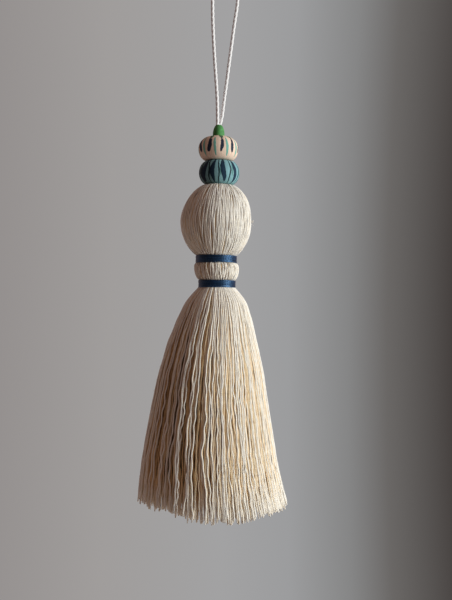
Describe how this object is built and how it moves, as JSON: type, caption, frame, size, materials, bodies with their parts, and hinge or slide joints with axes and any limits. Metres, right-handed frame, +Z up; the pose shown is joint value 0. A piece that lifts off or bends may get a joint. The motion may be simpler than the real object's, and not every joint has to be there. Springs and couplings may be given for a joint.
{
  "type": "beaded yarn tassel on a hanging loop",
  "caption": "Ecru cotton yarn tassel with a ball head, navy thread bindings and a flared skirt, hung by a thin cord loop through three painted wooden beads.",
  "frame": {"origin": "inside top of the hanging loop, where a finger or a hook holds it", "axes": "+Z up along the line it hangs on, front faces -Y, +X to the right seen from the front"},
  "size_m": [0.0914, 0.0915, 0.3349],
  "materials": {
    "white_cord": "thin twisted white cotton cord",
    "green_paint": "small wooden bead in satin green paint",
    "painted_wood": "bare pale wood with painted drips in navy and teal",
    "teal_paint": "wooden bead in matt teal paint with dark wavy stripes",
    "ecru_yarn": "undyed twisted cotton yarn, matt and slightly hairy",
    "navy_thread": "glossy navy embroidery thread wound side by side"
  },
  "bodies": {
    "root": {"hanging_cord": "white_cord", "green_bead": "green_paint", "painted_bead": "painted_wood", "teal_bead": "teal_paint", "yarn_tassel": "ecru_yarn", "upper_binding": "navy_thread", "lower_binding": "navy_thread"}
  },
  "joints": []
}
